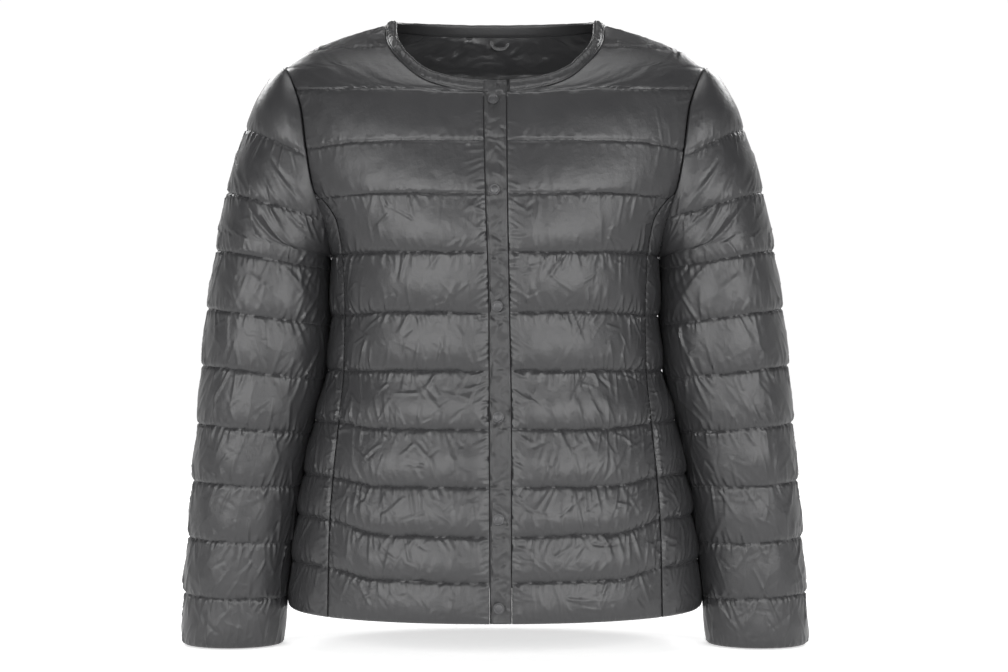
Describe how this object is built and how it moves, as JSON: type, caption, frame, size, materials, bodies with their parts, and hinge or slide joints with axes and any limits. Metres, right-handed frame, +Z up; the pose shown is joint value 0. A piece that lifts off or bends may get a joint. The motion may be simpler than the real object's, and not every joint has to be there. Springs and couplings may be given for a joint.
{
  "type": "puffer jacket",
  "caption": "Light quilted down jacket with a round neck and no collar, horizontal quilting, side front seams, a snap front and long sleeves, filled out as when worn.",
  "frame": {"origin": "between the two points where the shoulder seams meet the neck, at the height where the wearer's shoulders hold the jacket", "axes": "+Z up, the front faces -Y, the wearer's right is at -X"},
  "size_m": [0.6236, 0.2709, 0.6249],
  "materials": {
    "shell_cloth": "satin nylon, down filled and quilted",
    "trim_cloth": "satin nylon, folded and stitched",
    "snap_metal": "satin dark grey enamel"
  },
  "bodies": {
    "root": {"front_right_panel": "shell_cloth", "front_left_panel": "shell_cloth", "side_right_panel": "shell_cloth", "side_left_panel": "shell_cloth", "back_panel": "shell_cloth", "sleeve_right": "shell_cloth", "sleeve_left": "shell_cloth", "neck_binding": "trim_cloth", "front_placket": "trim_cloth", "under_placket": "trim_cloth", "snap_cap_1": "snap_metal", "snap_cap_2": "snap_metal", "snap_cap_3": "snap_metal", "snap_cap_4": "snap_metal", "snap_cap_5": "snap_metal", "snap_cap_6": "snap_metal", "hanger_loop": "trim_cloth"}
  },
  "joints": []
}
